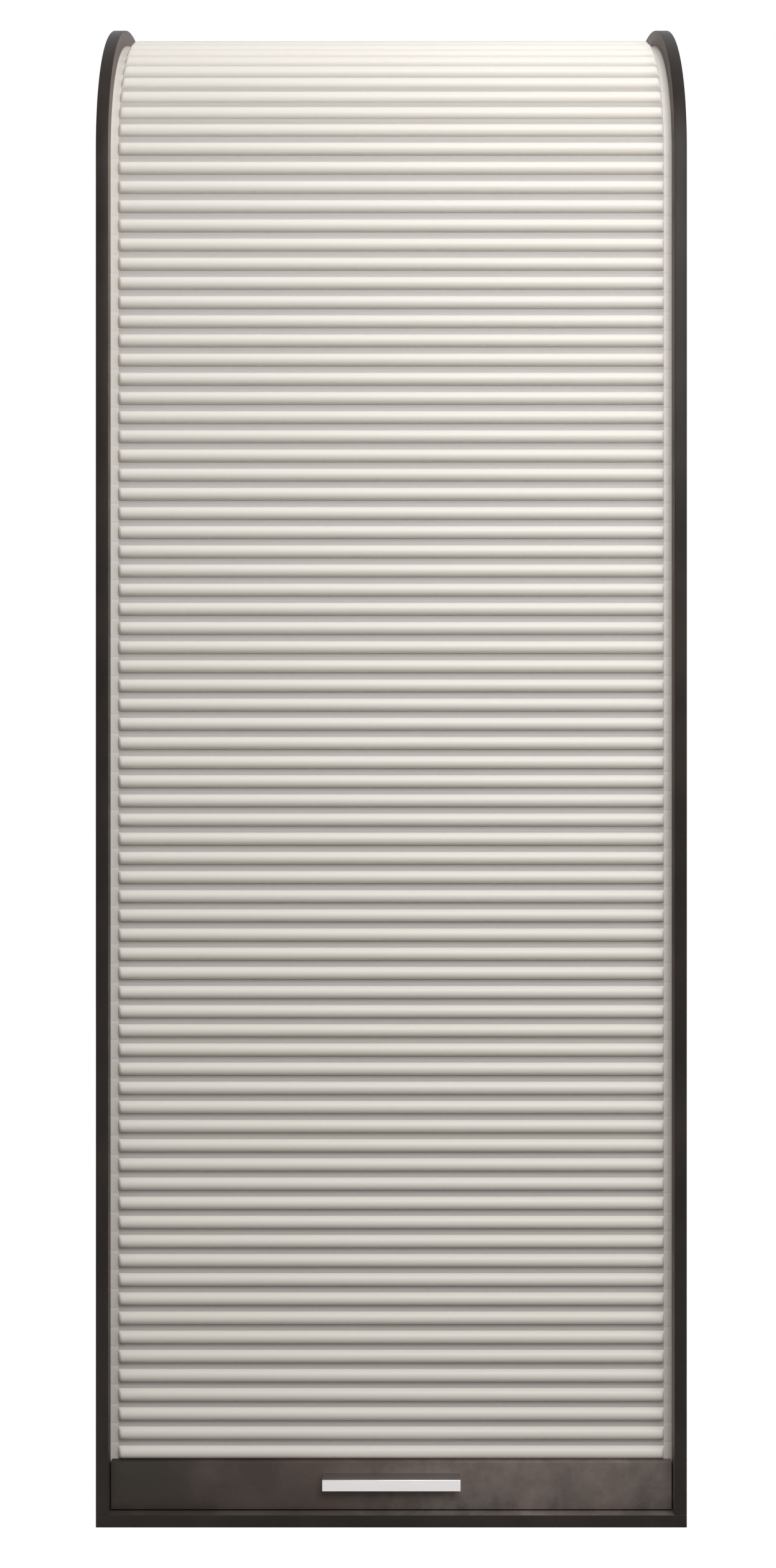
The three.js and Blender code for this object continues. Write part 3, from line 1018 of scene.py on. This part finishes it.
@dataclass
class Carcass:
    """The fixed boards, backs, tracks and stops."""

    workshop: Workshop
    path: CurtainPath
    edge_radius: float = 0.0008
    back_edge: float = 0.0004
    liner_half: float = 0.00295
    groove_clearance: float = 0.0003
    overrun: float = 0.002
    hole_radius: float = 0.0028
    hole_step: float = 0.032
    hole_segments: int = 20
    front_segments: int = 64
    rear_segments: int = 32
    buffer_radius: float = 0.003

    def build(self) -> None:
        """Makes and dresses the fixed pieces."""
        for side in Side:
            self._panel(side)
            self.workshop.dress(f"track_liner_{side.label}", Slot.TRACK)
            self._buffer(f"stop_buffer_{side.label}")
        for node in ("bottom_board", "top_board", "fixed_shelf", "shelf_1", "shelf_2", "shelf_3"):
            self._board(node, Axis.Z)
        self._board("inner_back", Axis.Y)
        mesh = block(*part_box("outer_back"))
        round_edges(mesh, is_sharp, self.back_edge, THIN_SEGMENTS)
        self.workshop.finish(mesh, "outer_back", Slot.HARDBOARD)

    def _board(self, node: str, broad: Axis) -> None:
        """Makes a decor board with banded edges from its node's box.

        Args:
            node: The board's node.
            broad: The axis that its two decor faces look along.
        """
        mesh = block(*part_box(node))
        round_edges(mesh, is_sharp, self.edge_radius)
        band_the_edges(mesh, broad)
        self.workshop.finish(mesh, node, Slot.BOARD)

    def _panel(self, side: Side) -> None:
        """Makes a side panel: a board with two round corners, the groove and the pin holes.

        Args:
            side: The panel's side.
        """
        node = f"side_panel_{side.label}"
        low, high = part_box(node)
        mesh = block(low, high)
        for y, radius, segments in (
            (low.y, self.path.front_radius, self.front_segments),
            (high.y, self.path.rear_radius, self.rear_segments),
        ):
            corner = partial(crosses_at, y=y, z=high.z, reach=self.overrun)
            round_edges(mesh, corner, radius, segments)
        round_edges(mesh, is_sharp, self.edge_radius)
        band_the_edges(mesh, Axis.X)
        inner = high.x if side is Side.LEFT else low.x
        self.workshop.finish(carve(mesh, self._cutter(side, inner)), node, Slot.BOARD)

    def _cutter(self, side: Side, inner: float) -> Mesh:
        """Makes what is cut from a panel: the curtain's groove and the shelf pins' holes.

        Args:
            side: The panel's side.
            inner: The x of its inner face.

        Returns:
            The cutter, which starts a little inside the cabinet.
        """
        path = self.path
        liner_low, liner_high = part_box(f"track_liner_{side.label}")
        start = liner_low.z - path.foot - self.overrun
        end = path.rear_end + path.height - path.rear_radius - liner_low.z + self.overrun
        half = self.liner_half + self.groove_clearance
        stations = path.stations(start, end)
        line = [(along, half) for along in stations]
        line += [(along, -half) for along in reversed(stations)]
        near = inner - side.value * self.overrun
        far = inner + side.value * (liner_high.x - liner_low.x + self.groove_clearance)
        corners = [Vector((near, *path.point(along, proud))) for along, proud in line]
        mesh = swept(bmesh.new(), corners, Vector((far - near, 0, 0)))
        for node in shelf_pins():
            if f"_{side.label}_" in node:
                self._pin_holes(mesh, node, near, side)
        bmesh.ops.recalc_face_normals(mesh, faces=mesh.faces)
        return mesh

    def _pin_holes(self, mesh: Mesh, node: str, near: float, side: Side) -> None:
        """Adds the hole of a shelf pin to a cutter, with one more above and below it.

        Args:
            mesh: The cutter.
            node: The pin's node.
            near: The x where the cutter starts.
            side: The pin's side.
        """
        low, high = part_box(node)
        reach = max(abs(low.x), abs(high.x)) + self.groove_clearance
        depth = reach - abs(near)
        centre_x = side.value * (abs(near) + depth / 2)
        centre = Vector((centre_x, (low.y + high.y) / 2, (low.z + high.z) / 2))
        turn = Matrix.Rotation(math.pi / 2, 4, "Y")
        for step in (-1, 0, 1):
            move = Matrix.Translation(centre + Vector((0, 0, step * self.hole_step)))
            bmesh.ops.create_cone(
                mesh, cap_ends=True, segments=self.hole_segments, depth=depth,
                radius1=self.hole_radius, radius2=self.hole_radius, matrix=move @ turn,
            )

    def _buffer(self, node: str) -> None:
        """Makes a rubber stop with rounded corners."""
        mesh = corner_plate(node, Axis.X, self.buffer_radius, self.edge_radius, EDGE_SEGMENTS)
        self.workshop.finish(mesh, node, Slot.RUBBER)


@dataclass
class ShelfPins:
    """The collared steel pins that the adjustable shelves lie on."""

    workshop: Workshop
    radius: float = 0.0025
    collar_radius: float = 0.004
    collar: float = 0.0012
    in_board: float = 0.008
    rounding: float = 0.0004
    steps: int = 28

    def build(self) -> None:
        """Makes every pin."""
        for node in shelf_pins():
            self._pin(node)

    def _pin(self, node: str) -> None:
        """Turns one pin about its axis, which runs across the cabinet.

        Args:
            node: The pin's node.
        """
        low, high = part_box(node)
        side = Side.LEFT if high.x < 0 else Side.RIGHT
        outer = low.x if side is Side.LEFT else high.x
        length = high.x - low.x
        collar_end = self.in_board + self.collar
        r = self.rounding
        profile = [
            (0.0, 0.0),
            (self.radius - r, 0.0),
            (self.radius, r),
            (self.radius, self.in_board),
            (self.collar_radius - r, self.in_board),
            (self.collar_radius, self.in_board + r),
            (self.collar_radius, collar_end - r),
            (self.collar_radius - r, collar_end),
            (self.radius, collar_end),
            (self.radius, length - r),
            (self.radius - r, length),
            (0.0, length),
        ]
        centre = Vector((outer, (low.y + high.y) / 2, (low.z + high.z) / 2))
        mesh = turned(profile, centre, Vector((-side.value, 0, 0)), self.steps)
        self.workshop.finish(mesh, node, Slot.STEEL)


@dataclass
class Door:
    """The bottom rail with its hooked handle, screws and glides."""

    workshop: Workshop
    path: CurtainPath
    edge_radius: float = 0.0009
    slot_half: float = 0.00155
    slot_depth: float = 0.0083
    handle_wall: float = 0.0025
    handle_lip: float = 0.0145
    handle_flange: float = 0.003
    handle_corner: float = 0.001
    handle_edge: float = 0.0003
    screw_radius: float = 0.002
    head_radius: float = 0.004
    head: float = 0.0025
    head_steps: int = 6
    screw_steps: int = 32
    glide_corner: float = 0.003
    glide_edge: float = 0.0003

    def build(self) -> None:
        """Makes the pieces that ride on the door beside its first strip."""
        self._rail()
        self._handle()
        for side in Side:
            self._screw(f"handle_screw_{side.label}")
            self._glide(f"rail_glide_{side.label}")

    def _bar(self, outline: Sequence[Point], low: Vector, high: Vector) -> Mesh:
        """Makes a closed bar across the cabinet from its section's y and z and its box."""
        corners = [Vector((low.x, y, z)) for y, z in outline]
        return swept(bmesh.new(), corners, Vector((high.x - low.x, 0, 0)))

    def _rail(self) -> None:
        """Makes the rail: a banded board with a slot in its top for the curtain's hem."""
        low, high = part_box("bottom_rail")
        slot_y = self.path.point(0.0, 0.0)[0]
        floor = high.z - self.slot_depth
        outline = [
            (low.y, low.z),
            (high.y, low.z),
            (high.y, high.z),
            (slot_y + self.slot_half, high.z),
            (slot_y + self.slot_half, floor),
            (slot_y - self.slot_half, floor),
            (slot_y - self.slot_half, high.z),
            (low.y, high.z),
        ]
        mesh = self._bar(outline, low, high)

        def outer(edge: Edge) -> bool:
            """Says whether an edge is sharp and lies outside the slot."""
            in_slot = all(abs(vert.co.y - slot_y) < 2 * self.slot_half for vert in edge.verts)
            return is_sharp(edge) and not in_slot

        round_edges(mesh, outer, self.edge_radius)
        band_the_edges(mesh, Axis.Y)
        for face in mesh.faces:
            if face.normal.z > UPWARD:
                face.material_index = BoardFace.DECOR.value
        self.workshop.finish(mesh, "bottom_rail", Slot.BOARD)

    def _handle(self) -> None:
        """Makes the handle: a flange on the rail, a flat top and a lip that hangs down."""
        low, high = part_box("handle")
        outline = [
            (low.y, high.z - self.handle_lip),
            (low.y + self.handle_wall, high.z - self.handle_lip),
            (low.y + self.handle_wall, high.z - self.handle_wall),
            (high.y - self.handle_flange, high.z - self.handle_wall),
            (high.y - self.handle_flange, low.z),
            (high.y, low.z),
            (high.y, high.z),
            (low.y, high.z),
        ]
        mesh = self._bar(outline, low, high)
        bend = partial(crosses_at, y=low.y, z=high.z, reach=self.handle_edge)
        round_edges(mesh, bend, self.handle_corner, CORNER_SEGMENTS)
        round_edges(mesh, is_sharp, self.handle_edge)
        self.workshop.finish(mesh, "handle", Slot.ALUMINIUM)

    def _screw(self, node: str) -> None:
        """Turns a handle screw with a domed head.

        Args:
            node: The screw's node.
        """
        low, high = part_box(node)
        length = high.y - low.y
        shoulder = length - self.head
        profile = [
            (0.0, 0.0),
            (self.screw_radius, 0.0),
            (self.screw_radius, shoulder),
            (self.head_radius, shoulder),
        ]
        for step in range(1, self.head_steps):
            turn = math.pi / 2 * step / self.head_steps
            radius, rise = self.head_radius * math.cos(turn), self.head * math.sin(turn)
            profile.append((radius, shoulder + rise))
        profile.append((0.0, length))
        centre = Vector(((low.x + high.x) / 2, low.y, (low.z + high.z) / 2))
        mesh = turned(profile, centre, Vector((0, 1, 0)), self.screw_steps)
        self.workshop.finish(mesh, node, Slot.STEEL)

    def _glide(self, node: str) -> None:
        """Makes a glide plate with rounded corners."""
        mesh = corner_plate(node, Axis.Y, self.glide_corner, self.glide_edge, THIN_SEGMENTS)
        self.workshop.finish(mesh, node, Slot.NYLON)


@dataclass(frozen=True)
class Lamp:
    """A square lamp that looks at a point, with its power in watts."""

    name: str
    place: Triple
    target: Triple
    size: float
    power: float

    def hang(self) -> None:
        """Adds the lamp to the scene."""
        data = bpy.data.lights.new(self.name, "AREA")
        data.size = self.size
        data.energy = self.power
        lamp = bpy.data.objects.new(self.name, data)
        lamp.location = self.place
        way = Vector(self.target) - Vector(self.place)
        lamp.rotation_euler = way.to_track_quat("-Z", "Y").to_euler()
        bpy.context.scene.collection.objects.link(lamp)


@dataclass(frozen=True)
class Studio:
    """The camera, the pale floor and the soft light."""

    focal_pixels: float = 2444.0
    photo_width: float = 1250.0
    photo_height: float = 2525.0
    sensor: float = 36.0
    place: Triple = (-0.010, -2.180, 1.010)
    axis_pixel: Point = (617.9, 1200.9)
    floor_size: float = 30.0
    floor_roughness: float = 0.9
    floor_shown: Colour = (0.95, 0.95, 0.95)
    floor_bounce: Colour = (0.14, 0.12, 0.10)
    floor_glow: float = 0.80
    black: Colour = (0.0, 0.0, 0.0)
    white: Colour = (1.0, 1.0, 1.0)
    ambient: float = 0.255
    ambient_tone: Colour = (1.0, 0.96, 0.91)
    lamps: tuple[Lamp, ...] = (
        Lamp("key", (0.55, -2.35, 2.5), (0.0, 0.0, 1.2), 1.4, 48.0),
        Lamp("back", (-1.6, 3.0, 2.2), (0.0, 0.2, 1.0), 1.8, 40.0),
        Lamp("side", (2.9, -2.4, 2.4), (0.0, 0.0, 1.2), 1.4, 19.0),
    )

    def place_camera(self) -> None:
        """Puts the camera where the photograph was taken from."""
        data = bpy.data.cameras.new("camera")
        data.sensor_width = self.sensor
        data.lens = self.focal_pixels / self.photo_height * self.sensor
        data.shift_x = (self.photo_width / 2 - self.axis_pixel[0]) / self.photo_height
        data.shift_y = (self.axis_pixel[1] - self.photo_height / 2) / self.photo_height
        camera = bpy.data.objects.new("camera", data)
        camera.location = self.place
        camera.rotation_euler = (math.pi / 2, 0, 0)
        bpy.context.scene.collection.objects.link(camera)
        bpy.context.scene.camera = camera

    def light(self) -> None:
        """Makes the floor, the world and the lamps."""
        self._floor()
        self._world()
        for lamp in self.lamps:
            lamp.hang()
        bpy.context.scene.view_settings.view_transform = "Standard"

    def _floor(self) -> None:
        """Lays a pale floor that keeps the cabinet's shadow and throws little light back."""
        mesh = bmesh.new()
        bmesh.ops.create_grid(mesh, x_segments=1, y_segments=1, size=self.floor_size / 2)
        floor = set_down("floor", mesh)
        shader = Shader("floor_pale", self.floor_roughness, gloss=0.0, glow=1.0)
        seen = shader.showing_rays()
        shader.feed("Base Color", shader.mix(seen, self.floor_bounce, self.floor_shown))
        shader.feed("Emission Color", shader.mix(seen * self.floor_glow, self.black, self.white))
        floor.data.materials.append(shader.material)

    def _world(self) -> None:
        """Makes a surround that is seen as white and lights the cabinet softly."""
        world = bpy.data.worlds.new("surround")
        world.use_nodes = True
        nodes = Nodes(world.node_tree)
        soft, shown = (
            nodes.wire(
                nodes.node("ShaderNodeBackground", {}, {"Color": colour, "Strength": strength}),
                "Background",
            )
            for colour, strength in ((self.ambient_tone, self.ambient), (self.white, 1.0))
        )
        mix = nodes.node("ShaderNodeMixShader", {}, {0: nodes.showing_rays(), 1: soft, 2: shown})
        nodes.node("ShaderNodeOutputWorld", {}, {"Surface": nodes.wire(mix, "Shader")})
        bpy.context.scene.world = world


def main() -> None:
    """Builds the cabinet's looks and the studio around them."""
    logging.basicConfig(level=logging.INFO, format="%(name)s: %(message)s")
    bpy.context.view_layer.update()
    studio = Studio()
    studio.place_camera()
    workshop = Workshop(frame["record"], make_finishes())
    path = CurtainPath()
    Carcass(workshop, path).build()
    ShelfPins(workshop).build()
    Curtain(workshop, path).build()
    Door(workshop, path).build()
    studio.light()
    LOG.info("%d pieces made", workshop.made)


if __name__ == "__main__":
    main()
